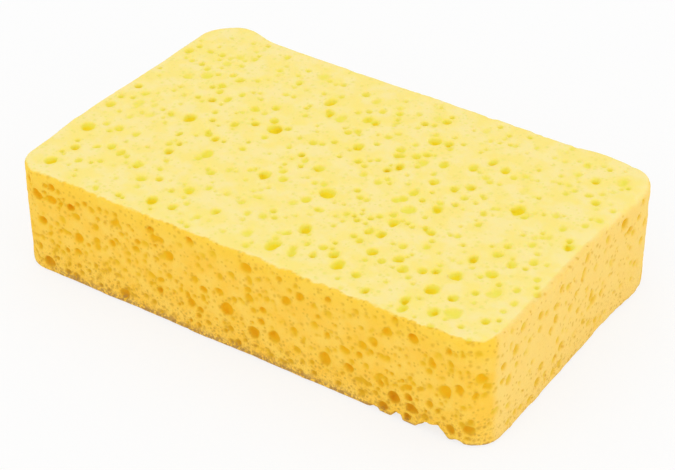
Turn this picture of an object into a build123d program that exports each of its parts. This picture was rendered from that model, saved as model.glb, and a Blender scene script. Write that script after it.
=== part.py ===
"""A household cleaning sponge: one block of yellow cellulose foam.

The block is sawn from a larger loaf, so its broad faces are flat, its four upright corners are
rounded off and its rims are slightly worn. The saw opens the round cells of the foam, and each
opened cell shows as a pit whose widest girth lies just under the face.
"""

import os
from random import Random

from build123d import *

# Block, in millimetres
block_length = 140.0
block_width = 86.0
block_height = 31.0
corner_radius = 8.0
rim_radius = 1.2

# Cells: the width of the pit at the face, by kind, and how much wider the cell is under the face
large_mouth = 3.8
medium_mouth = 3.0
small_mouth = 2.4
torn_mouth = 4.4
cell_swell = 1.12

# Cells scattered at random over the back, left and under faces, by kind
scatter_seed = 7
large_per_1000mm2 = 0.6
medium_per_1000mm2 = 1.7
small_per_1000mm2 = 2.6
edge_margin = 2.0

# How high over the base the torn cells of the lower front rim lie
torn_lift = 1.4

# Where the other cells open. Each pair is a place on a face, counted from the face's middle as
# shares of its half length and half height, so the cells stay in place when the block changes.
top_large = [
    (-0.66, -0.03), (0.05, -0.23), (-0.35, 0.17), (0.67, -0.71), (-0.91, -0.86), (0.07, -0.85),
    (-0.27, 0.60), (0.70, -0.51), (0.33, -0.80),
]
top_medium = [
    (-0.95, -0.44), (-0.21, -0.27), (-0.45, -0.85), (-0.05, -0.81), (-0.37, -0.65), (0.49, -0.55),
    (0.70, -0.31), (0.38, -0.58), (0.36, -0.29), (0.12, -0.61), (0.69, 0.23), (0.86, -0.54),
    (0.80, -0.82), (0.22, 0.57), (0.41, 0.46), (0.79, -0.41), (0.29, -0.70), (-0.88, -0.06),
    (0.95, 0.08), (0.92, 0.82),
]
top_small = [
    (0.83, -0.26), (0.75, -0.20), (0.76, -0.70), (0.45, -0.03), (0.36, -0.12), (0.46, 0.59),
    (0.83, 0.75), (-0.64, -0.62), (-0.79, -0.54), (-0.73, -0.57), (-0.85, -0.34), (-0.60, -0.41),
    (-0.46, -0.28), (-0.05, -0.04), (-0.12, -0.26), (-0.08, 0.56), (-0.40, 0.84), (-0.66, 0.52),
    (0.31, 0.41), (0.34, 0.22), (0.18, 0.23), (0.11, 0.04), (-0.80, -0.12), (0.31, -0.42),
    (0.63, -0.84), (-0.83, -0.77), (0.47, 0.27), (-0.02, 0.28), (0.13, 0.37), (-0.96, 0.62),
]
front_large = [(0.14, -0.42), (0.36, -0.40), (-0.06, -0.22), (0.84, -0.10)]
front_medium = [
    (-0.89, -0.81), (-0.53, -0.79), (0.06, -0.46), (-0.33, 0.34), (0.04, 0.73), (0.20, 0.43),
    (0.72, 0.70), (-0.74, -0.02), (0.62, 0.61), (-0.90, 0.54), (0.31, 0.16), (0.52, 0.18),
    (0.44, -0.10), (-0.37, 0.61), (-0.21, 0.81), (0.26, 0.63), (0.23, -0.16), (0.46, -0.45),
]
front_small = [
    (-0.89, 0.06), (-0.36, -0.45), (-0.16, -0.03), (-0.55, -0.22), (-0.46, 0.23), (0.04, 0.18),
    (0.10, 0.02), (0.56, 0.32), (0.61, 0.10), (0.79, -0.45), (-0.64, 0.04), (0.25, -0.48),
    (-0.76, 0.50), (0.87, -0.78), (-0.18, -0.79), (0.88, 0.80),
]
right_large = [(0.55, 0.77)]
right_medium = [(-0.70, 0.50), (-0.77, 0.02), (-0.51, -0.84), (0.79, 0.06)]
right_small = [
    (-0.06, 0.16), (-0.25, 0.25), (0.24, 0.38), (-0.21, -0.22), (0.19, -0.56), (0.33, -0.83),
    (-0.42, -0.36), (-0.17, -0.79), (-0.63, 0.80),
]
torn_shares = [0.65, 0.71, 0.79, 0.93]

# Planes of the six faces: x runs along the face and z points out of the block
half_length = block_length / 2
half_width = block_width / 2
half_height = block_height / 2
top_face = Plane(origin=(0, 0, block_height), x_dir=(1, 0, 0), z_dir=(0, 0, 1))
under_face = Plane(origin=(0, 0, 0), x_dir=(1, 0, 0), z_dir=(0, 0, -1))
front_face = Plane(origin=(0, -half_width, half_height), x_dir=(1, 0, 0), z_dir=(0, -1, 0))
back_face = Plane(origin=(0, half_width, half_height), x_dir=(-1, 0, 0), z_dir=(0, 1, 0))
right_face = Plane(origin=(half_length, 0, half_height), x_dir=(0, 1, 0), z_dir=(1, 0, 0))
left_face = Plane(origin=(-half_length, 0, half_height), x_dir=(0, -1, 0), z_dir=(-1, 0, 0))


def open_cells(face, places, mouth):
    """Cut round cells that open at a face, each with its widest girth just under the face."""
    radius = cell_swell * mouth / 2
    sink = (radius**2 - (mouth / 2) ** 2) ** 0.5
    with Locations(face):
        with Locations(*[(x, y, -sink) for x, y in places]):
            Sphere(radius, mode=Mode.SUBTRACT)


def listed(reach_x, reach_y, shares):
    """Places on a face whose half length and half height are the two reaches."""
    return [(u * reach_x, v * reach_y) for u, v in shares]


def scattered(reach_x, reach_y, per_1000mm2):
    """Random places over the flat part of a face."""
    room_x = reach_x - corner_radius
    room_y = reach_y - edge_margin
    count = round(4 * room_x * room_y * per_1000mm2 / 1000)
    return [(chance.uniform(-room_x, room_x), chance.uniform(-room_y, room_y)) for _ in range(count)]


chance = Random(scatter_seed)
kinds = [
    (large_mouth, large_per_1000mm2, top_large, front_large, right_large),
    (medium_mouth, medium_per_1000mm2, top_medium, front_medium, right_medium),
    (small_mouth, small_per_1000mm2, top_small, front_small, right_small),
]

with BuildPart() as sponge:
    with BuildSketch(Plane.XY) as outline:
        RectangleRounded(block_length, block_width, corner_radius)
    extrude(amount=block_height)
    fillet(sponge.faces().filter_by(Axis.Z).edges(), rim_radius)

    for mouth, per_1000mm2, on_top, on_front, on_right in kinds:
        open_cells(top_face, listed(half_length, half_width, on_top), mouth)
        open_cells(front_face, listed(half_length, half_height, on_front), mouth)
        open_cells(right_face, listed(half_width, half_height, on_right), mouth)
        open_cells(back_face, scattered(half_length, half_height, per_1000mm2), mouth)
        open_cells(left_face, scattered(half_width, half_height, per_1000mm2), mouth)
        open_cells(under_face, scattered(half_length, half_width, per_1000mm2), mouth)

    # Torn cells break out through the front and under faces at once
    with Locations(*[(share * half_length, -half_width, torn_lift) for share in torn_shares]):
        Sphere(torn_mouth / 2, rotation=(90, 0, 0), mode=Mode.SUBTRACT)

sponge.part.label = "sponge"
os.makedirs("parts", exist_ok=True)
export_step(sponge.part, "parts/sponge.step")
print("solids", len(sponge.part.solids()), "volume", round(sponge.part.volume), "valid", sponge.part.is_valid)
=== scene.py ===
import math

import bpy
import numpy as np
import openvdb
from mathutils import Matrix, Vector


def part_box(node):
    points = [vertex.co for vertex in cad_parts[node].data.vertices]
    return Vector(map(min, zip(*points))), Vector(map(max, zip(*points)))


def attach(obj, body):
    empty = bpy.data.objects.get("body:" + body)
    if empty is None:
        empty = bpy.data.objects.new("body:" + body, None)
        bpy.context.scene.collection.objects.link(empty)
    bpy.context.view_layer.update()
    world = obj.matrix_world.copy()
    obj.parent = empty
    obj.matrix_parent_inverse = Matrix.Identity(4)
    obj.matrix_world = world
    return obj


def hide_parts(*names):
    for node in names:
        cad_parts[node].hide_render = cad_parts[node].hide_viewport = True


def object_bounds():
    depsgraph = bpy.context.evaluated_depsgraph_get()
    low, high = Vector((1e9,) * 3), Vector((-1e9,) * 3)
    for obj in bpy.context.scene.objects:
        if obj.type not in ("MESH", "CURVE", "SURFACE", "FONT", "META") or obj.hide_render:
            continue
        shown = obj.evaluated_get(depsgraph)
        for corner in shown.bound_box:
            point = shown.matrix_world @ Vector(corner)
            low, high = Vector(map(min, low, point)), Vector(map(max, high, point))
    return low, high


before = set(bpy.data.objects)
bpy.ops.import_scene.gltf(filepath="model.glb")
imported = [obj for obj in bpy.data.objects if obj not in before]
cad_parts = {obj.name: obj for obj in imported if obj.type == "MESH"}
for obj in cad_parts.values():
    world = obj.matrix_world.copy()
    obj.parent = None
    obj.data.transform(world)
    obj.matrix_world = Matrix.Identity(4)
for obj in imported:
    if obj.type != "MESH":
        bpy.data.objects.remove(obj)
cadLow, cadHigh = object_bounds()
scene = bpy.context.scene
scene.view_settings.view_transform = "Standard"

# Angles are in degrees, the lens and its sensor in millimetres, and the rest in metres.
shot = {
    "azimuth": 33.623,
    "elevation": 35.777,
    "roll": -0.206,
    "distance": 0.5591,
    "lens": 114.45,
    "sensor": 36,
    "nearest": 0.01,
    "farthest": 20,
    "slideRight": 0.000252,  # where the middle of the view lies from the middle of the block
    "slideUp": -0.004279,
}


def makeCamera():
    a, e, r = (math.radians(shot[k]) for k in ("azimuth", "elevation", "roll"))
    back = Vector((math.sin(a) * math.cos(e), -math.cos(a) * math.cos(e), math.sin(e)))
    level = Vector((math.cos(a), math.sin(a), 0))
    upright = back.cross(level)
    right = level * math.cos(r) + upright * math.sin(r)
    up = upright * math.cos(r) - level * math.sin(r)
    aim = (cadLow + cadHigh) / 2 + level * shot["slideRight"] + upright * shot["slideUp"]
    camera = bpy.data.objects.new("camera", bpy.data.cameras.new("camera"))
    camera.data.lens = shot["lens"]
    camera.data.sensor_width = shot["sensor"]
    camera.data.clip_start = shot["nearest"]
    camera.data.clip_end = shot["farthest"]
    turned = Matrix((right, up, back)).transposed().to_4x4()
    camera.matrix_world = Matrix.Translation(aim + back * shot["distance"]) @ turned
    scene.collection.objects.link(camera)
    scene.camera = camera


makeCamera()
print("camera set")


# a socket that adds and multiplies like a number, so a mask reads as a sum
class Wire:
    def __init__(self, shader, socket):
        self.shader = shader
        self.socket = socket

    def sum(self, operation, *values):
        return self.shader.node("ShaderNodeMath", {"operation": operation}, dict(enumerate(values)))

    def __add__(self, other):
        return self.sum("ADD", self, other)

    def __radd__(self, other):
        return self.sum("ADD", other, self)

    def __sub__(self, other):
        return self.sum("SUBTRACT", self, other)

    def __rsub__(self, other):
        return self.sum("SUBTRACT", other, self)

    def __mul__(self, other):
        return self.sum("MULTIPLY", self, other)

    def __rmul__(self, other):
        return self.sum("MULTIPLY", other, self)

    def __lt__(self, other):
        return self.sum("LESS_THAN", self, other)

    def __gt__(self, other):  # the reflected form of <
        return self.sum("GREATER_THAN", self, other)

    def __abs__(self):
        return self.sum("ABSOLUTE", self)

    def most(self, other):
        return self.sum("MAXIMUM", self, other)

    def ramp(self, start, end):  # 0 at start and 1 at end, with a smooth turn at both
        settings = {"interpolation_type": "SMOOTHSTEP"}
        return self.shader.node("ShaderNodeMapRange", settings, {0: self, 1: start, 2: end, 3: 0.0, 4: 1.0})


class Shader:
    def __init__(self, owner):
        owner.use_nodes = True
        self.tree = owner.node_tree
        self.tree.nodes.clear()

    def node(self, kind, settings=None, inputs=None, output=0):
        made = self.tree.nodes.new(kind)
        for key, value in (settings or {}).items():
            setattr(made, key, value)
        for key, value in (inputs or {}).items():
            if isinstance(value, Wire):
                self.tree.links.new(value.socket, made.inputs[key])
            else:
                made.inputs[key].default_value = value
        return Wire(self, made.outputs[output]) if len(made.outputs) else None

    def other(self, wire, output):  # another output of the node that a wire comes from
        return Wire(self, wire.socket.node.outputs[output])

    def mix(self, share, first, second):
        return self.node("ShaderNodeMix", {"data_type": "RGBA"}, {0: share, 6: first, 7: second}, 2)

    def noise(self, place, scale, detail=2.0, roughness=0.5):
        values = {"Vector": place, "Scale": scale, "Detail": detail, "Roughness": roughness}
        return self.node("ShaderNodeTexNoise", None, values)

    def attribute(self, name):
        return self.node("ShaderNodeAttribute", {"attribute_name": name}, None, "Fac")


def colour(red, green, blue):  # screen values from 0 to 255, as a linear colour
    values = (((v / 255 + 0.055) / 1.055) ** 2.4 if v > 10 else v / 3294.6 for v in (red, green, blue))
    return (*values, 1.0)


# Every length of the foam is in millimetres. A face's places are counted along it and across it:
# from the middle of a broad face, and from the middle of a side's lower rim.
foam = {
    "node": "sponge",
    "slot": "foam",
    "fill": 1.0,
    "seed": 20,
    "triangles": 190000,
    "grid": 0.36,  # spacing of the points that the block is sculpted on
    "margin": 3.6,  # how far the points reach beyond the sawn size
    "deepest": 3.0,  # distances from the surface are cut off here before it is drawn
    "grow": 0.3,  # the soft skin stands this far proud of the sawn size
    "cornerRadius": 8.0,
    "topRim": 0.7,
    "baseRim": 0.4,
    # two corners where the top rim is worn rounder: place, reach and by how much
    "wornCorners": ((68, -41, 9, 1.8), (70, 34, 10, 1.6)),
    "leftEndSkew": 0.0244,  # the left end was sawn a little out of square
    # where the outline bulges: place along and across, reach along and across, and how far
    "bulges": (
        (-59, 44, 6, 8, 2.6),
        (-71, -14, 8, 26, 0.8),
        (70, 31, 8, 7, 1.1),
        (68, 41, 4, 4, 0.4),
        (54, 44, 8, 6, 1.0),
        (71, -16, 6, 24, 0.5),
    ),
    "waves": ((15.0, 0.22), (4.0, 0.10), (1.3, 0.07)),  # length and height of the sawn face's unevenness
    "grain": ((1.5, 1.0), (0.8, 0.5)),  # length and share of the unevenness of a cell's wall
    "softRim": 0.65,  # how softly the skin turns down into a cell
    # The larger cells, by face and kind: place along, place across and width of the mouth.
    # Deep cells show golden, painted deeper as shade in their hollows, and shallow ones are little more
    # than a dent.
    "cells": {
        "top": {
            "deep": [
                (-46, -1, 3.5), (-66, -19, 3.5), (-31, -37, 3.2), (-14, -12, 3.2), (-11, -8, 2),
                (-9, -11, 2.2), (4, -10, 4), (1, -15, 2.5), (8, -26, 3.2), (23, -34, 3.2), (25, -12, 2.8),
                (47, -30, 3.5), (49, -22, 3.2), (58, -11, 2.5), (-24, 7, 3.8), (-19, 26, 3), (-1, 12, 2.8),
                (48, 10, 3.8), (29, 20, 2.5), (-3.5, 24, 2.4), (15, 25, 2.4),
            ],
            "plain": [
                (-58, -1, 2), (-68, -7, 2.5), (-60, -9, 2), (-59, -15, 2.5), (-63, -15, 2), (-53, -15, 2),
                (-55, -23, 2.5), (-51, -24, 2.5), (-44, -26, 3), (-58, -33, 2), (-64, -37, 3.5),
                (-45, -34, 1.5), (-38, -34, 1.8), (-41, -17, 2.5), (-43, -14, 1.8), (-32, -12, 3),
                (-26, -28, 3), (-23, -15, 2), (-4, -2, 2.8), (-9, -1, 2), (-17, -24, 2), (-12, -25, 2.2),
                (-4, -27, 2), (-8, -28, 2), (-15, -32, 2.5), (-18, -38, 1.5), (-23, -33, 1.8),
                (-11, -18, 1.5), (-1, -18, 2.2), (1, -7, 2), (5, -36, 3.8), (4, -33, 1.8), (11, -36, 2.5),
                (10, -34, 2), (12, -31, 1.8), (16, -30, 2.2), (20, -31, 3), (29, -35, 2.5), (34, -39, 2.5),
                (22, -18, 2.5), (25, -18, 2.5), (27, -25, 2.8), (22, -23, 2), (23, -9, 2), (13, -15, 2),
                (14, -7, 1.8), (31, -1, 3), (37, -16, 2.2), (32, -19, 2.2), (34, -24, 3), (37, -27, 2.8),
                (31, -27, 2), (41, -25, 2.5), (44, -23, 2.5), (53, -30, 2.5), (44, -37, 2.8),
                (45, -40, 2.5), (49, -14, 3), (53, -9, 2.5), (56, -17, 3), (66, -24, 2.2), (64, -19, 2),
                (62, -7, 2.5), (52, -37, 3), (54, -42, 2.2), (64, -42, 2.2), (69, -18, 2), (47, -17, 1.6),
                (45, -17, 1.3), (43, -1, 2), (58, -1, 2.2), (41, -8, 1.8), (66, -13, 1.8), (13, -21, 1.5),
                (-18, 30, 1.8), (-67, 27, 2.5), (-57, 22, 2.2), (-55, 30, 2), (-49, 23, 2), (-46, 22, 2.5),
                (-49, 33, 2), (-42, 39, 2.2), (-39, 30, 1.8), (-47, 14, 2), (-43, 12, 2.2), (-41, 16, 1.8),
                (-34, 12, 2.5), (-31, 12, 2), (-34, 3, 2.2), (-36, 9, 1.5), (-42, 5, 1.6), (-32, 30, 2.5),
                (-28, 28, 1.5), (-21, 17, 1.6), (-6, 24, 3), (-10, 26, 1.8), (-5, 30, 2.2), (-2, 34, 1.8),
                (-5, 18, 2), (-7, 16, 2.2), (-12, 7, 2.2), (-24, 2, 2), (-16, 7, 1.5), (-16, 2, 1.5),
                (33, 12, 2.5), (22, 17, 2.8), (24, 9, 2.5), (22, 12, 1.8), (13, 10, 3.2), (11, 7, 2.5),
                (9, 17, 2.5), (14, 25, 3), (13, 28, 2), (18, 26, 2.5), (32, 25, 2.5), (42, 24, 2.2),
                (49, 26, 1.5), (58, 32, 2.8), (53, 37, 2.5), (53, 32, 2.2), (46, 42, 2), (64, 30, 1.5),
                (66, 25, 1.3), (64, 21, 1.5), (65, 13, 1.8), (67, 17, 2), (61, 9, 2), (66, 3, 3),
                (60, 4, 1.8), (57, 2, 2), (57, 13, 1.8), (34, 18, 2), (30, 9, 2.5), (34, 7, 2),
                (22, 2, 2.5), (30, 2, 2), (7, 2, 2.2), (12, 1, 2.2), (11, 21, 1.8), (3, 20, 2),
                (33, 35, 1.5), (29, 36, 1.5), (38, 37, 1.5), (4, 34, 1.5),
            ],
            "shallow": [
                (-56, -5, 2.5), (-62, -2, 3), (-3, -35, 3), (25, -5, 3.5), (60, -23, 3.5), (56, -35, 4),
                (-53, 32, 2.5), (-54, 27, 2.5), (-55, 19, 3), (-59, 16, 2.5), (-28, 36, 2.8), (-12, 21, 3),
                (-9, 33, 2.5), (64, 35, 3.5), (45, 18, 2.5), (17, 15, 2.5), (23, 37, 2), (9, 35, 2.5),
            ],
        },
        "front": {
            "deep": [
                (-64, 24, 3.5), (-51, 15, 3.2), (-27, 27, 2.5), (-22, 21, 3.2), (-4, 12, 4), (-37, 3, 3),
                (-62, 3, 3.6), (-53, 2, 2.2), (14, 22, 3.2), (10, 9, 4), (4, 8, 3.8), (25, 9, 4),
                (31, 14, 2.8), (36, 18, 2.8), (39, 20.5, 2.8), (43, 25, 3), (50, 26, 3.2), (59, 14, 3.9),
                (68, 20.5, 3.6), (45, 6, 3.8), (42, 2, 2.8), (50, 5, 3.5), (61, 3.5, 2.5), (66, 4.5, 3.2),
                (32, 9, 3), (2, 27, 3.3),
            ],
            "plain": [
                (-59, 24, 3), (-53, 24, 3), (-45, 21, 2.5), (-63, 16, 3.5), (-45, 14.5, 2.2),
                (-45, 16.5, 2.4), (-32, 19, 2.5), (-41, 27, 1.8), (-26, 25, 2.8), (-24, 25, 2.5),
                (-24, 20, 2), (-18, 26, 2), (-15, 28, 2.8), (-9, 23, 2), (-6, 21, 2.2), (-14, 17, 2.5),
                (-11, 15, 2.5), (-22, 15, 2.2), (-39, 12, 2.3), (-35, 14, 2), (-49, 11, 1.8),
                (-32, 11, 1.8), (-25, 9, 2.5), (-39, 8, 2.2), (-57, 8, 2), (-65, 7, 2.5), (-42, 2, 1.2),
                (-30, 5, 2), (-25, 2, 2), (-13, 6, 1.8), (-13, 3, 2), (-10, 5, 1.8), (-17, 1, 1.3),
                (-5, 7, 1.5), (18, 25, 2.8), (8, 20, 2.2), (3, 18, 2.8), (7, 16, 2.5), (4, 15, 2),
                (22, 18, 2.5), (16, 13, 2.8), (17, 8, 2.5), (12, 6, 2), (37, 12, 2), (34, 27, 2),
                (37, 27, 1.8), (45, 29, 2.5), (46, 26, 2), (41.4, 17, 2), (43, 17, 2), (53, 20, 2),
                (63, 16, 2.8), (67, 15, 2.4), (69, 15.4, 2.2), (67, 28, 2.5), (55, 8.5, 2.2), (55, 14, 2),
                (40, 5, 1.6), (49, 8, 2.5), (49, 2, 2.5), (54, 4, 2.3), (59, 6, 1.5), (64, 6, 2.2),
                (66, 7, 2.3), (29, 3, 2.2), (15, 3.5, 2), (8, 4, 1.8), (18, 2, 1.3), (21, 10.5, 1.8),
                (28, 13, 1.6),
            ],
            "shallow": [
                (-56, 19, 2.6), (-29, 22, 2.4), (-8, 27, 3), (26, 23, 2.8), (57, 24, 2.6), (-45, 5, 2.4),
            ],
        },
        "right": {
            "deep": [(24, 27, 3.2), (-30, 23, 3), (-33, 16, 2.5), (34, 16, 2.5), (-22, 2, 2.5)],
            "plain": [
                (-27, 28, 2.5), (-32, 30, 2), (-40, 18, 2.5), (-19, 22, 2), (-16, 25, 1.8), (-11, 20, 2.5),
                (-3, 18, 2.2), (-5, 25.5, 2), (-9, 12, 2), (10, 22, 2.2), (6, 18, 1.8), (7.5, 11, 2),
                (8, 6, 2.2), (33, 9, 1.8), (15, 24, 1.8), (15, 14, 1.5), (29, 12, 1.8), (25, 7, 2),
                (-15, 5.5, 1.8), (-7, 3, 2.5), (15, 3, 2), (-17.5, 9.6, 2.5), (-33, 8, 2), (-22, 14, 1.5),
            ],
            "shallow": [(0, 8, 2.4), (-25, 19, 2.2), (19, 18, 2.4)],
        },
    },
    # How each kind of cell is cut: its half width and its depth against its mouth, and how far its
    # widest girth lies under the skin against its depth.
    "cuts": {"deep": (0.48, 0.36, 0.06), "plain": (0.44, 0.32, 0.02), "shallow": (0.48, 0.17, 0.0)},
    "enlarged": 1.04,  # listed cells are cut this much larger, and narrower on the sides
    "narrowed": {"top": 1.0, "front": 0.89, "right": 0.9},
    "stretch": {"top": (0.82, 1.0), "front": (0.92, 1.08), "right": (0.92, 1.08)},  # along a face
    "roughness": {"listed": 0.28, "strewn": 0.08, "torn": 0.5},  # how much of the grain a wall shows
    "smootherUnder": 2.5,  # listed cells with narrower mouths are less rough
    # A smaller cell opens in the wall of a larger one: the least mouth of the larger one, the half
    # width against that mouth, how far off its middle lies and how far it leans inward.
    "wallCell": {"from": 2.4, "halfWidth": (0.18, 0.26), "away": 0.34, "inward": 0.3},
    # Cells strewn over each face: how many to a square centimetre, and the least and largest mouth
    "strewn": {
        "top": ((3.0, 0.9, 1.5), (0.8, 1.4, 2.1)),
        "front": ((16.0, 0.8, 1.3), (2.6, 1.3, 1.9)),
        "right": ((3.0, 0.8, 1.3), (2.2, 1.4, 2.3)),
        "under": ((4.0, 0.9, 1.5), (2.0, 1.4, 2.4), (0.35, 2.4, 3.4)),
        "back": ((14.0, 0.7, 1.2), (4.0, 1.2, 2.0), (0.8, 2.0, 3.1)),
        "left": ((9.0, 0.8, 1.3), (2.6, 1.2, 2.0), (0.5, 2.0, 2.9)),
    },
    "strewnCut": {"halfWidth": 0.5, "spread": (0.85, 1.15), "depth": (0.4, 0.7), "sink": 0.1},
    "favourSmall": 1.6,  # above 1, the smaller strewn cells are the commoner
    "thinning": 0.45,  # the share of a side's strewn cells left out at its upper rim; less lower down
    "apart": 0.25,  # the least foam between a strewn cell and a listed one
    "bareEdge": 1.2,  # strewn cells leave this much of a face's edge whole
    "bleed": 1.6,  # how far the painted shade of a cell spreads into the foam around it
    # middle and half sizes of each bite where the lower front rim is torn, near the front corner
    "tears": (
        ((46.2, -43.2, 0.1), (1.4, 2.4, 1.7)),
        ((56.0, -43.6, -0.6), (4.6, 4.5, 2.7)),
        ((57.2, -43.2, 0.8), (1.1, 2.2, 1.8)),
        ((39.5, -43.4, -0.2), (1.2, 1.4, 0.8)),
        ((62.5, -43.0, -0.3), (1.4, 1.6, 1.1)),
    ),
    # and where cells open across the upper back rim
    "nicks": (
        ((21.0, 44.0, 31.6), (1.7, 1.5, 1.2)),
        ((27.5, 44.0, 31.6), (1.3, 1.3, 1.1)),
        ((35.5, 44.1, 31.5), (2.6, 1.6, 1.3)),
        ((46.5, 44.8, 31.6), (1.8, 1.4, 1.2)),
        ((62.5, 44.6, 31.6), (2.0, 1.6, 1.3)),
        ((-22.0, 44.0, 31.6), (2.0, 1.2, 1.1)),
        ((-2.0, 44.0, 31.6), (1.5, 1.2, 1.1)),
    ),
}
broadFaces = ("top", "under")


def outline(x, y, size):  # how far a point lies outside the block's edge, seen from above
    r = foam["cornerRadius"]
    leftShare = np.clip(-x / (size[0] / 2), 0, 1) ** 2
    dx = np.abs(x - foam["leftEndSkew"] * y * leftShare) - (size[0] / 2 + foam["grow"] - r)
    dy = np.abs(y) - (size[1] / 2 + foam["grow"] - r)
    gap = np.hypot(np.maximum(dx, 0), np.maximum(dy, 0)) + np.minimum(np.maximum(dx, dy), 0) - r
    for along, across, reachX, reachY, swell in foam["bulges"]:
        gap = gap - swell * np.exp(-(((x - along) / reachX) ** 2) - ((y - across) / reachY) ** 2)
    return gap


def rounded(x, y, z, size):  # how far a point lies outside the block before its cells are cut
    plan = outline(x, y, size)
    thick = np.abs(z - size[2] / 2) - size[2] / 2
    worn = 0
    for along, across, reach, rounder in foam["wornCorners"]:
        worn = worn + rounder * np.exp(-((x - along) ** 2 + (y - across) ** 2) / reach**2)
    r = np.where(z > size[2] / 2, foam["topRim"] + worn, foam["baseRim"])
    beyond = np.hypot(np.maximum(plan + r, 0), np.maximum(thick + r, 0))
    return (beyond + np.minimum(np.maximum(plan, thick) + r, 0) - r).astype(np.float32)


def makeFaces(size):  # origin, direction along, direction across, outward and size of each face
    length, width, height = size
    return {
        "top": ((0, 0, height), (1, 0, 0), (0, 1, 0), (0, 0, 1), (length, width)),
        "under": ((0, 0, 0), (1, 0, 0), (0, 1, 0), (0, 0, -1), (length, width)),
        "front": ((0, -width / 2, 0), (1, 0, 0), (0, 0, 1), (0, -1, 0), (length, height)),
        "back": ((0, width / 2, 0), (1, 0, 0), (0, 0, 1), (0, 1, 0), (length, height)),
        "right": ((length / 2, 0, 0), (0, 1, 0), (0, 0, 1), (1, 0, 0), (width, height)),
        "left": ((-length / 2, 0, 0), (0, 1, 0), (0, 0, 1), (-1, 0, 0), (width, height)),
    }


def blurred(field, axis, reach):  # the average over a run of grid points along one axis
    total = np.cumsum(field, axis=axis, dtype=np.float32)
    spread = (np.roll(total, -reach, axis) - np.roll(total, reach + 1, axis)) / (2 * reach + 1)
    edge = np.arange(field.shape[axis])
    shape = [-1 if k == axis else 1 for k in range(3)]
    inner = ((edge > reach) & (edge < len(edge) - reach)).reshape(shape)
    return np.where(inner, spread, 0)


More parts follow.
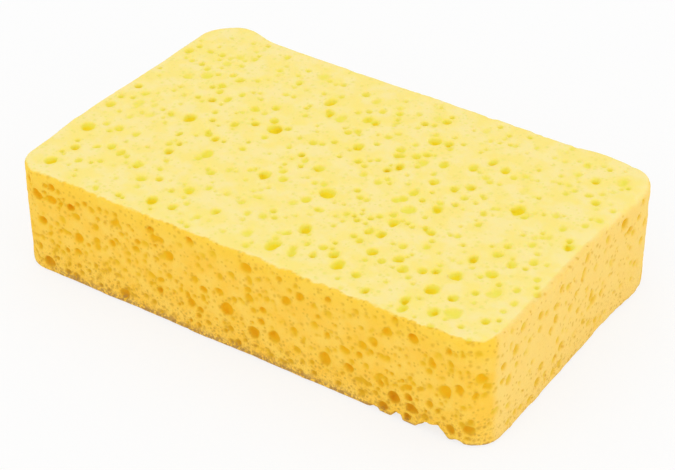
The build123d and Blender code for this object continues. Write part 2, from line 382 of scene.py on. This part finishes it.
# The block as a grid of distances from its surface, below zero in the foam and above it outside.
class Block:
    def __init__(self, size):
        self.size = size
        self.faces = makeFaces(size)
        self.step = foam["grid"]
        self.origin = np.array([-size[0] / 2, -size[1] / 2, 0]) - foam["margin"]
        self.counts = np.ceil((size + 2 * foam["margin"]) / self.step).astype(int) + 1
        self.chance = np.random.default_rng(foam["seed"])
        self.cells = 0

        x, y, z = (self.origin[k] + np.arange(self.counts[k]) * self.step for k in range(3))
        x, y, z = x[:, None, None], y[None, :, None], z[None, None, :]
        self.whole = rounded(x, y, z, size)
        for length, height in foam["waves"]:
            self.whole += height * self.bumps(length)
        self.grain = sum(share * self.bumps(length) for length, share in foam["grain"])
        self.whole = np.maximum(self.whole, (-z).astype(np.float32))  # it lies flat
        self.field = self.whole.copy()

    def bumps(self, length):  # smooth bumps of one length over the whole grid, from -1 to 1
        counts = [int(n * self.step / length) + 3 for n in self.counts]
        values = self.chance.uniform(-1, 1, counts).astype(np.float32)
        for axis, n in enumerate(self.counts):
            at = np.arange(n) * self.step / length
            low = at.astype(int)
            part = (at - low).astype(np.float32)
            shape = [1, 1, 1]
            shape[axis] = n
            part = (part * part * (3 - 2 * part)).reshape(shape)
            values = np.take(values, low, axis) * (1 - part) + np.take(values, low + 1, axis) * part
        return values

    def carve(self, middle, radii, rough):  # a rounded hollow with a soft rim and a rough wall
        middle, radii = np.array(middle, float), np.array(radii, float)
        low = np.floor((middle - radii - self.origin) / self.step).astype(int) - 2
        high = np.ceil((middle + radii - self.origin) / self.step).astype(int) + 3
        low, high = np.maximum(low, 0), np.minimum(high, self.field.shape)
        if (high - low).min() < 2:
            return
        window = tuple(slice(start, end) for start, end in zip(low, high))
        place = [np.arange(low[k], high[k]) * self.step + self.origin[k] - middle[k] for k in range(3)]
        x, y, z = np.meshgrid(*place, indexing="ij", sparse=True)
        a, b, c = radii
        tiny = 1e-6  # keeps the division below from failing at the middle
        near = np.sqrt((x / a) ** 2 + (y / b) ** 2 + (z / c) ** 2) + tiny
        steep = np.sqrt((x / a**2) ** 2 + (y / b**2) ** 2 + (z / c**2) ** 2) + tiny
        hollow = rough * self.grain[window] - near * (near - 1) / steep
        kept = self.field[window]
        blend = np.maximum(foam["softRim"] - np.abs(kept - hollow), 0)
        self.field[window] = np.maximum(kept, hollow) + blend * blend / (4 * foam["softRim"])

    def openCell(self, face, along, across, mouth, cut, rough, stretch=1.0):
        start, u, v, out = (np.array(k, float) for k in self.faces[face][:4])
        halfWidth, depth, sink = cut
        middle = start + u * along + v * across
        if face not in broadFaces:
            middle -= out * outline(*middle[:2], self.size)  # onto the skin, where it bulges or falls back
        middle -= out * sink * depth * mouth
        flat = halfWidth * stretch * np.abs(u) + halfWidth / stretch * np.abs(v)
        self.carve(middle, mouth * (flat + depth * np.abs(out)), rough)
        self.cells += 1
        return middle

    def openWallCell(self, face, middle, mouth, rough):
        wall = foam["wallCell"]
        out = np.array(self.faces[face][3], float)
        turn = self.chance.normal(size=3)
        turn -= out * (abs(turn @ out) + turn @ out + wall["inward"])
        turn /= np.linalg.norm(turn)
        small = mouth * self.chance.uniform(*wall["halfWidth"])
        self.carve(middle + turn * mouth * wall["away"], (small,) * 3, rough)
        self.cells += 1

    def openListed(self):
        for face, kinds in foam["cells"].items():
            for kind, places in kinds.items():
                halfWidth, depth, sink = foam["cuts"][kind]
                cut = (halfWidth * foam["narrowed"][face], depth, sink)
                for along, across, mouth in places:
                    rough = foam["roughness"]["listed"] * min(1.0, mouth / foam["smootherUnder"])
                    stretch = self.chance.uniform(*foam["stretch"][face])
                    wide = mouth * foam["enlarged"]
                    middle = self.openCell(face, along, across, wide, cut, rough, stretch)
                    if kind != "shallow" and mouth >= foam["wallCell"]["from"]:
                        self.openWallCell(face, middle, mouth, rough)

    def strew(self):
        for face, rows in foam["strewn"].items():
            length, width = self.faces[face][4]
            listed = foam["cells"].get(face, {}).values()
            taken = np.array([place for places in listed for place in places]).reshape(-1, 3)
            for perSquareCentimetre, least, largest in rows:
                for _ in range(int(length * width / 100 * perSquareCentimetre)):
                    self.strewCell(face, least, largest, taken)

    def strewCell(self, face, least, largest, taken):  # nothing opens where there is no room
        length, width = self.faces[face][4]
        mouth = least + (largest - least) * self.chance.uniform() ** foam["favourSmall"]
        edge = foam["bareEdge"] + mouth / 2
        along = self.chance.uniform(edge - length / 2, length / 2 - edge)
        across = self.chance.uniform(edge - width / 2, width / 2 - edge)
        if face not in broadFaces:
            across += width / 2
            if self.chance.uniform() < foam["thinning"] * across / width:
                return
        elif outline(along, across, self.size) > -edge:
            return
        gaps = np.hypot(taken[:, 0] - along, taken[:, 1] - across) - (taken[:, 2] + mouth) / 2
        if (gaps < foam["apart"]).any():
            return
        cut = foam["strewnCut"]
        halfWidth = cut["halfWidth"] * self.chance.uniform(*cut["spread"])
        depth = self.chance.uniform(*cut["depth"])
        rough = foam["roughness"]["strewn"]
        self.openCell(face, along, across, mouth, (halfWidth, depth, cut["sink"]), rough)

    def surface(self):
        grid = openvdb.FloatGrid(foam["deepest"])
        grid.copyFromArray(np.clip(self.field, -foam["deepest"], foam["deepest"]))
        points, _, quads = grid.convertToPolygons(isovalue=0.0, adaptivity=0.0)
        return points * self.step + self.origin, quads[:, ::-1]

    def nearCells(self):  # a blurred map of what was cut away
        near = np.clip(self.field - self.whole, 0, 1)
        for axis in (0, 1, 2, 0, 1, 2):
            near = blurred(near, axis, int(foam["bleed"] / self.step / 2))
        return near

    def sample(self, field, points):  # a grid's value between its points
        at = (points - self.origin) / self.step
        low = np.clip(np.floor(at).astype(int), 0, np.array(field.shape) - 2)
        part = at - low
        found = 0
        for corner in np.ndindex(2, 2, 2):
            weight = np.prod(np.where(corner, part, 1 - part), axis=1)
            found = found + weight * field[tuple((low + corner).T)]
        return found


def keepLargest(points, faces):  # crumbs that the cells cut loose are dropped
    label = np.arange(len(points))
    edges = np.concatenate([faces[:, [0, 1]], faces[:, [1, 2]], faces[:, [2, 3]]])
    while True:
        lowest = label.copy()
        np.minimum.at(lowest, edges[:, 0], label[edges[:, 1]])
        np.minimum.at(lowest, edges[:, 1], label[edges[:, 0]])
        lowest = lowest[lowest]
        if (lowest == label).all():
            break
        label = lowest
    names, counts = np.unique(label, return_counts=True)
    kept = label == names[counts.argmax()]
    number = np.cumsum(kept) - 1
    print("loose crumbs dropped", len(names) - 1)
    return points[kept], number[faces[kept[faces[:, 0]]]]


def makeMesh(points, quads):
    mesh = bpy.data.meshes.new("foamBlock")
    mesh.vertices.add(len(points))
    mesh.vertices.foreach_set("co", (points / 1000).astype(np.float32).ravel())
    mesh.loops.add(quads.size)
    mesh.loops.foreach_set("vertex_index", quads.astype(np.int32).ravel())
    mesh.polygons.add(len(quads))
    mesh.polygons.foreach_set("loop_start", np.arange(0, quads.size, 4, dtype=np.int32))
    mesh.update(calc_edges=True)
    mesh.validate()
    return mesh


def thinOut(piece):
    thin = piece.modifiers.new("thin", "DECIMATE")
    thin.ratio = min(1.0, foam["triangles"] / (2 * len(piece.data.polygons)))
    thin.use_collapse_triangulate = True
    fewer = bpy.data.meshes.new_from_object(piece.evaluated_get(bpy.context.evaluated_depsgraph_get()))
    piece.modifiers.clear()
    piece.data = fewer
    fewer.name = "foamBlock"
    fewer.shade_smooth()


# Where each face of the block lies on a square sheet, in millimetres: the axis that the face looks
# along and which way, the two axes that run across and up the sheet, and the face's middle on it.
sheet = {
    "side": 218.0,
    "faces": (
        ((2, 1), (0, 1), (72.5, 45.5)),
        ((2, -1), (0, 1), (72.5, 136.5)),
        ((1, -1), (2, 0), (163.5, 72.5)),
        ((1, 1), (2, 0), (199.5, 72.5)),
        ((0, 1), (1, 2), (45.5, 199.5)),
        ((0, -1), (1, 2), (136.5, 199.5)),
    ),
}


def layFlat(mesh, places, size):
    corners = np.empty(len(mesh.loops), np.int32)
    mesh.loops.foreach_get("vertex_index", corners)
    centred = places - (0, 0, size[2] / 2)
    middles = centred[corners].reshape(-1, 3, 3).mean(axis=1)
    gaps = [size[axis] / 2 - way * middles[:, axis] for (axis, way), _, _ in sheet["faces"]]
    nearest = np.argmin(gaps, axis=0).repeat(3)
    laid = np.empty((len(corners), 2), np.float32)
    for number, (_, axes, middle) in enumerate(sheet["faces"]):
        chosen = nearest == number
        laid[chosen] = (centred[corners[chosen]][:, axes] + middle) / sheet["side"]
    mesh.uv_layers.new(name="OFBake").data.foreach_set("uv", laid.ravel())


def makeFoam():
    low, high = (np.array(corner) * 1000 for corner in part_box(foam["node"]))
    block = Block(high - low)
    print("block laid out on", tuple(block.counts))
    block.openListed()
    block.strew()
    for middle, radii in foam["tears"] + foam["nicks"]:
        block.carve(middle, radii, foam["roughness"]["torn"])
    print("cells opened", block.cells)

    piece = bpy.data.objects.new("foamBlock", makeMesh(*keepLargest(*block.surface())))
    scene.collection.objects.link(piece)
    print("surface has", len(piece.data.polygons), "faces")
    thinOut(piece)
    print("thinned to", len(piece.data.polygons), "faces")

    mesh = piece.data
    places = np.empty(len(mesh.vertices) * 3, np.float32)
    mesh.vertices.foreach_get("co", places)
    places = places.reshape(-1, 3) * 1000.0
    # what the look of the foam follows: two distances in millimetres and a share
    follows = {
        "underSkin": -block.sample(block.whole, places),
        "insideEdge": -outline(places[:, 0], places[:, 1], block.size),
        "cellNear": block.sample(block.nearCells(), places),
    }
    for name, values in follows.items():
        mesh.attributes.new(name, "FLOAT", "POINT").data.foreach_set("value", values.astype(np.float32))
    layFlat(mesh, places, block.size)
    return piece


sponge = makeFoam()
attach(sponge, "root")
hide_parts(foam["node"])
print("foam block made")


# Spans are in millimetres: where a part of the look begins, and where it is full.
foamLook = {
    # painted light: the broad faces pale as if lit from above, against the amber sides
    "skin": colour(254, 233, 155),
    "skinMottle": colour(254, 231, 131),
    # painted shade: the cells deeper and darker than the foam around them, more so with depth
    "skinBleed": colour(251, 229, 108),
    "skinCell": colour(242, 229, 88),
    "skinDeep": colour(248, 222, 42),
    # painted shade: the darker specks of the fine pores
    "skinSpeck": colour(236, 224, 104),
    # painted shade: the sawn sides a deeper amber than the lit top
    "side": colour(255, 212, 92),
    "sideMottle": colour(255, 204, 74),
    # painted shade in and around the cells of the sides
    "sideBleed": colour(249, 203, 62),
    "sideCell": colour(240, 194, 40),
    "sideDeep": colour(246, 191, 24),
    # painted shade in the fine pores of the sides
    "sideSpeck": colour(222, 174, 46),
    # painted shade: the cells and specks browner low on the sides, near the floor
    "shadedLowCell": colour(218, 168, 38),
    "shadedLowDeep": colour(221, 158, 24),
    "shadedLowSpeck": colour(198, 150, 48),
    # painted light: both ends paler than the long sides, as the more brightly lit right end
    "end": colour(253, 217, 127),
    "endCell": colour(240, 206, 76),
    "endDeep": colour(244, 201, 52),
    # painted light: the long sides brighter towards the upper rim
    "rim": colour(255, 212, 62),
    # painted shade: the colour of the contact shadow along the base of the sides
    "base": colour(174, 134, 78),
    "roughness": 0.92,
    "gloss": 0.15,
    "soft": 0.25,
    "softReach": (1.0, 0.7, 0.25),
    "softScale": 0.0012,
    # how strongly a colour is mixed in
    "shares": {"skinBleed": 0.8, "sideBleed": 0.6, "shadedLowCell": 0.7, "shadedLowDeep": 0.8, "end": 0.75, "rim": 0.5},
    "endsFade": {"bleed": 0.5, "shadedLowSpeck": 0.7, "pores": 0.6, "contactShade": 0.7},  # weaker on the ends by this
    # the line between the painted light of the pale top and the painted shade of the amber sides
    "lineSpan": (-0.5, 0.7),
    "lineWander": 0.5,  # how far it strays, and how much further along the front and right rims
    "rimWander": {"front": 2.0, "right": 1.0},
    "rimSpan": (3.0, 0.5),  # inward from the front or the right side
    "over": {"front": 0.8, "right": 2.0, "corner": 0.9, "lower": 1.2},  # how far the amber comes over
    "overRightSpan": (20.0, 4.0),  # along y: only the front part of the right rim
    "cornerSpan": (12.0, 5.0),  # inward from the front right corner, along x and y together
    "rightSoftness": 0.6,  # the line loses this share of its sharpness along the right rim
    "endSpan": (3.0, 6.5),  # around the corners, from a long side to an end
    "lowSpan": (13.0, 1.0),  # down a side, where the cells turn browner with painted shade near the floor
    "upperSpan": (8.0, 1.0),  # up to the upper rim, where painted light makes the long sides brighter
    "bareSpan": (6.0, 3.5),  # inward from the right side, where few fine pores open in the skin
    # under the skin: where a cell takes its painted shade, and where the deeper painted shade
    "skinDepths": ((0.02, 0.68), (0.65, 1.2)),
    "sideDepths": ((0.04, 0.62), (0.5, 1.1)),
    "depthStray": 0.3,
    "bleedSpan": (0.0, 0.3),  # of the blurred map of the cells
    "poreDepth": (0.7, 0.2),  # fine pores show only near the skin
    # noises by name: how fine, per millimetre, then detail and roughness
    "noises": {
        "broad": (0.12,),
        "middling": (0.6,),
        "mottle": (0.16, 3.0),
        "fine": (1.1, 3.0, 0.6),
        "crowd": (0.22,),
        "grain": (1.9, 3.0, 0.7),
        "contactShade": (1.4, 2.0, 0.6),
        "tooth": (2.6, 2.0),
    },
    # and where the patches of four of them begin and are full
    "patches": {"mottle": (0.35, 0.65), "crowd": (0.3, 0.7), "grain": (0.46, 0.68), "contactShade": (0.38, 0.56)},
    # honeycombs in whose cells fine pores lie: how fine, the share of the cells that have one on the
    # skin and on a side, what the lower part of a side adds, and how strongly a pore shows
    "combs": ((0.6, 0.3, 0.4, 0.25, 0.7), (0.95, 0.16, 0.3, 0.45, 0.75)),
    "poreSpan": (0.52, 0.04),  # from a pore's rim to its middle, against the size of a cell
    "poreShare": (0.7, 0.3),  # on the skin, and what a side adds
    "poreCrowd": (0.4, 1.2),  # on the skin: outside the crowds, and what a crowd adds
    "grainShare": (0.12, 0.34),  # on the sides, and what their lower part adds
    "poreHeight": 0.06,
    "fineHeight": 0.12,
    "toothHeight": 0.08,
    "bump": 0.8,
    "bumpDistance": 0.001,
    "contactShadeSpan": (3.0, 0.8),  # down a side to the band of painted contact shadow at its base
    "contactShadeNarrowing": 1.6,  # how much narrower the band of painted contact shadow gets towards the right end
    "contactShadeNarrowingSpan": (30.0, 55.0),  # along x
    "contactShadeStart": (4.0, 15.0),  # from the left end
    "contactShadeShare": 0.85,
}


class FoamShader(Shader):
    def __init__(self, material):
        super().__init__(material)
        low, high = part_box(foam["node"])
        self.half = (high - low) * 500  # half the sawn size, in millimetres
        here = self.node("ShaderNodeTexCoord", None, None, "Object")
        self.place = self.node("ShaderNodeVectorMath", {"operation": "SCALE"}, {0: here, "Scale": 1000.0})
        self.x = self.node("ShaderNodeSeparateXYZ", None, {0: self.place}, 0)
        self.y, self.z = self.other(self.x, 1), self.other(self.x, 2)
        self.depth = self.attribute("underSkin")
        self.near = self.attribute("cellNear").ramp(*foamLook["bleedSpan"])
        self.lowPart = self.z.ramp(*foamLook["lowSpan"])
        self.endShare = (abs(self.x) - self.half.x - abs(self.y) + self.half.y).ramp(*foamLook["endSpan"])
        self.sideShare = self.findSides()
        self.mottle = self.patches("mottle")
        self.fine = self.named("fine")
        self.opened = self.depth + (self.fine - 0.5) * foamLook["depthStray"]
        bare = self.x.ramp(*(self.half.x - d for d in foamLook["bareSpan"])) * (1 - self.sideShare)
        self.poresShow = self.depth.ramp(*foamLook["poreDepth"]) * (1 - bare)

    def named(self, name):  # one of the noises that foamLook lists
        return self.noise(self.place, *foamLook["noises"][name])

    def patches(self, name):
        return self.named(name).ramp(*foamLook["patches"][name])

    def findSides(self):  # 0 on the broad faces and 1 on the sawn sides: the mask of painted light, pale on the lit broad faces and amber shade on the sides
        x, y, half = self.x, self.y, self.half
        over, rimWander = foamLook["over"], foamLook["rimWander"]
        toBroad = half.z - abs(self.z - half.z)
        toSide = self.attribute("insideEdge")
        wander = self.named("broad") + self.named("middling") - 1.0
        frontRim = y.ramp(*(d - half.y for d in foamLook["rimSpan"]))
        rightRim = x.ramp(*(half.x - d for d in foamLook["rimSpan"]))
        stray = foamLook["lineWander"] + (frontRim * rimWander["front"]).most(rightRim * rimWander["right"])
        # the painted amber shade comes a little way over the lower rims and over two of the upper ones
        overRight = rightRim * y.ramp(*foamLook["overRightSpan"]) * over["right"]
        overRims = (frontRim * over["front"]).most(overRight)
        overCorner = (x - y).ramp(*(half.x + half.y - d for d in foamLook["cornerSpan"])) * over["corner"]
        line = toBroad - toSide + wander * stray + overRims + overCorner + (self.z < half.z) * over["lower"]
        return (line * (1 - rightRim * foamLook["rightSoftness"])).ramp(*foamLook["lineSpan"])

    # the broad faces, painted pale as lit from above
    def skinColour(self):
        cellDepth, deepDepth = foamLook["skinDepths"]
        skin = self.mix(self.mottle, foamLook["skin"], foamLook["skinMottle"])
        skin = self.mix(self.near * foamLook["shares"]["skinBleed"], skin, foamLook["skinBleed"])
        skin = self.mix(self.opened.ramp(*cellDepth), skin, foamLook["skinCell"])
        return self.mix(self.depth.ramp(*deepDepth), skin, foamLook["skinDeep"])

    def sideColour(self):  # amber painted as the shaded sides, paler on the ends with painted light, brighter towards the upper rim with painted light and browner in the cells near the base with painted shade
        cellDepth, deepDepth = foamLook["sideDepths"]
        shares, ends = foamLook["shares"], self.endShare
        # painted shade: the cells browner near the floor
        cell = self.mix(self.lowPart * shares["shadedLowCell"], foamLook["sideCell"], foamLook["shadedLowCell"])
        cell = self.mix(ends, cell, foamLook["endCell"])
        deep = self.mix(self.lowPart * shares["shadedLowDeep"], foamLook["sideDeep"], foamLook["shadedLowDeep"])
        deep = self.mix(ends, deep, foamLook["endDeep"])
        # painted light towards the upper rim
        upper = (2 * self.half.z - self.z).ramp(*foamLook["upperSpan"]) * (1 - ends)
        bleed = self.near * (1 - ends * foamLook["endsFade"]["bleed"])
        side = self.mix(self.mottle, foamLook["side"], foamLook["sideMottle"])
        # painted light: paler on the ends
        side = self.mix(ends * shares["end"], side, foamLook["end"])
        side = self.mix(upper * shares["rim"], side, foamLook["rim"])
        side = self.mix(bleed * shares["sideBleed"], side, foamLook["sideBleed"])
        side = self.mix(self.opened.ramp(*cellDepth), side, cell)
        return self.mix(self.depth.ramp(*deepDepth), side, deep)

    def addPores(self, base):  # pores and grain too fine to model, and the depth of the pores; the fine pores' darker specks are painted shade
        fade = foamLook["endsFade"]
        # painted shade: the specks browner near the floor
        shadedLowSpecks = self.lowPart * (1 - self.endShare * fade["shadedLowSpeck"])
        speck = self.mix(shadedLowSpecks, foamLook["sideSpeck"], foamLook["shadedLowSpeck"])
        speck = self.mix(self.sideShare, foamLook["skinSpeck"], speck)
        apart, crowded = foamLook["poreCrowd"]
        crowd = apart + crowded * self.patches("crowd")
        shown, shownMore = foamLook["poreShare"]
        pits = 0
        for scale, onSkin, onSide, addedLow, strength in foamLook["combs"]:
            values = {"Vector": self.place, "Scale": scale}
            comb = self.node("ShaderNodeTexVoronoi", None, values, "Distance")
            drawn = self.node("ShaderNodeSeparateColor", None, {0: self.other(comb, "Color")}, 0)
            sides = (onSide + addedLow * self.lowPart) * (1 - self.endShare * fade["pores"])
            chosen = drawn < onSkin * crowd * (1 - self.sideShare) + sides * self.sideShare
            pit = comb.ramp(*foamLook["poreSpan"]) * chosen * self.poresShow
            base = self.mix(pit * strength * (shown + shownMore * self.sideShare), base, speck)
            pits = pits + pit * (foamLook["poreHeight"] / scale)
        grainy, grainyLow = foamLook["grainShare"]
        grain = self.patches("grain") * self.sideShare * self.poresShow
        return self.mix(grain * (grainy + grainyLow * self.lowPart), base, speck), pits

    def addContactShade(self, base):  # painted shade: the lower rim darkened as a contact shadow where it lies on the floor
        narrowed = 1 + foamLook["contactShadeNarrowing"] * self.x.ramp(*foamLook["contactShadeNarrowingSpan"])
        contactShade = (self.z * narrowed).ramp(*foamLook["contactShadeSpan"]) * self.patches("contactShade")
        contactShade = contactShade * (1 - self.endShare * foamLook["endsFade"]["contactShade"])
        contactShade = contactShade * (self.half.x + self.x).ramp(*foamLook["contactShadeStart"])
        return self.mix(contactShade * self.sideShare * foamLook["contactShadeShare"], base, foamLook["base"])


def makeFoamLook():
    material = bpy.data.materials.new("openFoam")
    s = FoamShader(material)
    # painted light and shade: the pale lit broad faces mixed with the shaded amber sides
    base, pits = s.addPores(s.mix(s.sideShare, s.skinColour(), s.sideColour()))
    heights = s.fine * foamLook["fineHeight"] + s.named("tooth") * foamLook["toothHeight"] - pits
    values = {"Strength": foamLook["bump"], "Distance": foamLook["bumpDistance"], "Height": heights}
    surface = s.node(
        "ShaderNodeBsdfPrincipled",
        None,
        {
            "Base Color": s.addContactShade(base),
            "Roughness": foamLook["roughness"],
            "Specular IOR Level": foamLook["gloss"],
            "Subsurface Weight": foamLook["soft"],
            "Subsurface Radius": foamLook["softReach"],
            "Subsurface Scale": foamLook["softScale"],
            "Normal": s.node("ShaderNodeBump", None, values, "Normal"),
        },
    )
    s.node("ShaderNodeOutputMaterial", None, {"Surface": surface})
    return material


sponge.data.materials.append(makeFoamLook())
print("foam finished")


white = (1, 1, 1, 1)
# Lengths are in metres.
studio = {
    "floorHalf": 4.0,
    "floorDrop": 0.0002,  # the floor lies this far under the foam
    "floor": (0.92, 0.92, 0.92, 1.0),
    "lift": 0.78,  # how much of the floor that the camera sees is plain white
    "sky": 0.96,
    "lamps": {
        # name: place, size across and power; each lamp faces the foam
        "frontLeft": ((-0.5, -1.2, 0.8), 0.9, 1.2),
        "right": ((1.3, -0.3, 0.5), 0.9, 1.6),
    },
}


def seen(s):  # 1 where the camera sees a surface, straight or in a gloss or a glass
    path = s.node("ShaderNodeLightPath", None, None, "Is Camera Ray")
    return path.most(s.other(path, "Is Glossy Ray")).most(s.other(path, "Is Transmission Ray"))


def makeFloor():
    mesh = bpy.data.meshes.new("floor")
    h, z = studio["floorHalf"], -studio["floorDrop"]
    mesh.from_pydata([(-h, -h, z), (h, -h, z), (h, h, z), (-h, h, z)], [], [(0, 1, 2, 3)])
    floor = bpy.data.objects.new("floor", mesh)
    scene.collection.objects.link(floor)
    material = bpy.data.materials.new("paleFloor")
    s = Shader(material)
    matt = s.node("ShaderNodeBsdfDiffuse", None, {"Color": studio["floor"]})
    plain = s.node("ShaderNodeEmission", None, {"Color": white, "Strength": 1.0})
    surface = s.node("ShaderNodeMixShader", None, {0: seen(s) * studio["lift"], 1: matt, 2: plain})
    s.node("ShaderNodeOutputMaterial", None, {"Surface": surface})
    mesh.materials.append(material)
    return floor


def makeSky():
    world = bpy.data.worlds.new("studio")
    scene.world = world
    s = Shader(world)
    room = s.node("ShaderNodeBackground", None, {"Color": white, "Strength": studio["sky"]})
    plain = s.node("ShaderNodeBackground", None, {"Color": white, "Strength": 1.0})
    surface = s.node("ShaderNodeMixShader", None, {0: seen(s), 1: room, 2: plain})
    s.node("ShaderNodeOutputWorld", None, {"Surface": surface})


def makeLamps():
    for name, (place, across, power) in studio["lamps"].items():
        lamp = bpy.data.lights.new(name, "AREA")
        lamp.shape = "DISK"
        lamp.size = across
        lamp.energy = power
        holder = bpy.data.objects.new(name, lamp)
        holder.location = place
        holder.rotation_mode = "QUATERNION"
        holder.rotation_quaternion = (-Vector(place)).to_track_quat("-Z", "Y")
        scene.collection.objects.link(holder)


makeFloor()
makeSky()
makeLamps()
print("studio lit")
